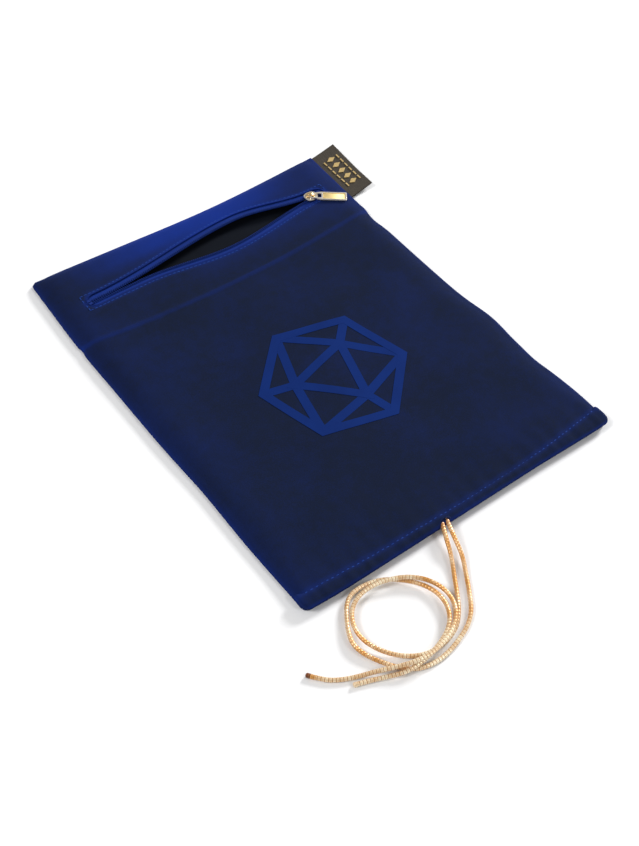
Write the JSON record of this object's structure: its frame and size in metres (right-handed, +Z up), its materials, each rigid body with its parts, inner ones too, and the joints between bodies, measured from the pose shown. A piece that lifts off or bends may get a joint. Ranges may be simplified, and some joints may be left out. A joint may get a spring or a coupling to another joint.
{
  "type": "drawstring dice bag",
  "caption": "Flat velvet pouch with a drawstring mouth, a front zip pocket standing open, a side label and a thin satin cord lying in loops.",
  "frame": {"origin": "middle of the back panel's underside, on the surface that the bag lies on", "axes": "+X across the bag towards the label's side seam, +Y from the mouth towards the base seam, +Z up through the front"},
  "size_m": [0.2371, 0.3257, 0.0108],
  "materials": {
    "velvet": "royal blue velvet, short dense pile, matt with a sheen at grazing angles",
    "lining": "plain dark woven lining",
    "overlock_thread": "blue overlock thread round a cloth edge",
    "stitch_thread": "polyester sewing thread, lighter blue than the cloth",
    "print_film": "thin heat-pressed print, satin, lighter blue",
    "label_cloth": "grey-brown woven ribbon with a fine rib",
    "zip_tape": "blue herringbone zip tape",
    "zip_coil": "blue nylon coil",
    "zip_metal": "crimped stops lacquered to the colour of the coil",
    "gold_metal": "pale gold plating, polished",
    "satin_cord": "gold satin rattail cord with fine cross ridges"
  },
  "bodies": {
    "root": {"back_panel": "velvet", "front_main_panel": "velvet", "front_yoke": "velvet", "pocket_lining": "lining", "front_channel": "velvet", "back_channel": "velvet", "left_seam_overlock": "overlock_thread", "right_seam_overlock": "overlock_thread", "base_seam_overlock": "overlock_thread", "yoke_seam_overlock": "overlock_thread", "hem_topstitch_front": "stitch_thread", "hem_topstitch_back": "stitch_thread", "zip_topstitch": "stitch_thread", "buttonhole_stitching": "stitch_thread", "emblem_print": "print_film", "label": "label_cloth", "zip_top_stops": "zip_metal", "zip_bottom_stop": "zip_metal"},
    "lip_upper": {"zip_tape_upper": "zip_tape", "zip_coil_upper": "zip_coil"},
    "lip_lower": {"zip_tape_lower": "zip_tape", "zip_coil_lower": "zip_coil"},
    "slider": {"slider_body": "gold_metal"},
    "pull": {"pull_tab": "gold_metal"},
    "gather_left": {"drawstring_left_run": "satin_cord"},
    "gather_right": {"drawstring_right_run": "satin_cord"},
    "tails": {"drawstring_tail_a": "satin_cord", "drawstring_tail_b": "satin_cord"}
  },
  "joints": [
    {"name": "zip_slide", "type": "slide", "parent": "root", "child": "slider", "axis": [-1, 0, 0], "range_m": [0, 0.1485]},
    {"name": "pull_swing", "type": "hinge", "parent": "slider", "child": "pull", "pos_m": [0.0718, 0.096, 0.0093], "axis": [-0.5807, -0.8141, 0], "range_deg": [0, 175]},
    {"name": "lip_upper_close", "type": "slide", "parent": "root", "child": "lip_upper", "axis": [0, -1, 0], "range_m": [0, 0.0098], "deforming": ["zip_tape_upper", "zip_coil_upper"]},
    {"name": "lip_lower_close", "type": "slide", "parent": "root", "child": "lip_lower", "axis": [0, 1, 0], "range_m": [0, 0.007], "deforming": ["zip_tape_lower", "zip_coil_lower"]},
    {"name": "draw_pull", "type": "slide", "parent": "root", "child": "tails", "axis": [0, -1, 0], "range_m": [0, 0.1]},
    {"name": "gather_left_slide", "type": "slide", "parent": "root", "child": "gather_left", "axis": [1, 0, 0], "range_m": [0, 0.04], "deforming": ["drawstring_left_run"]},
    {"name": "gather_right_slide", "type": "slide", "parent": "root", "child": "gather_right", "axis": [-1, 0, 0], "range_m": [0, 0.06], "deforming": ["drawstring_right_run"]}
  ],
  "couplings": [
    {"joint": "lip_upper_close", "follows": "zip_slide", "ratio": 0.06599},
    {"joint": "lip_lower_close", "follows": "zip_slide", "ratio": 0.04713},
    {"joint": "gather_left_slide", "follows": "draw_pull", "ratio": 0.4},
    {"joint": "gather_right_slide", "follows": "draw_pull", "ratio": 0.6}
  ]
}
